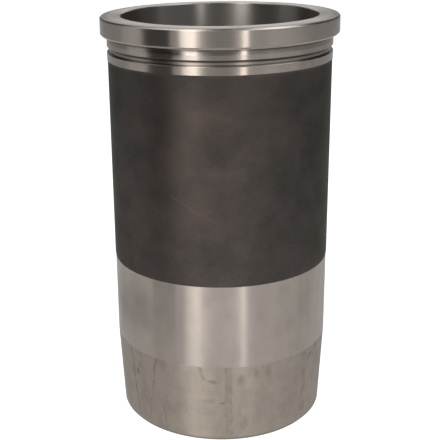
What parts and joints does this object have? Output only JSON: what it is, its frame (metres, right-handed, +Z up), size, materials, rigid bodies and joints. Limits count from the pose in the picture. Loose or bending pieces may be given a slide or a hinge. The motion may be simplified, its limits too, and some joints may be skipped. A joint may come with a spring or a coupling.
{
  "type": "cylinder liner",
  "caption": "Wet cylinder liner: a plain iron tube with a crowned seat collar, a seal ring groove below it, a dark coated jacket zone, a ground lower belt and a narrowing skirt.",
  "frame": {"origin": "on the bore axis, in the plane of the foot face that the liner stands on", "axes": "+Z up the bore axis, from the foot to the sealing face; the part is round about Z, so X and Y are free"},
  "size_m": [0.1571, 0.157, 0.277],
  "materials": {
    "liner_iron": "fine ground on the collar and belts, dark matt phosphate coat on the jacket zone, matt turned skirt, honed bore"
  },
  "bodies": {
    "root": {"cylinder_liner": "liner_iron"}
  },
  "joints": []
}
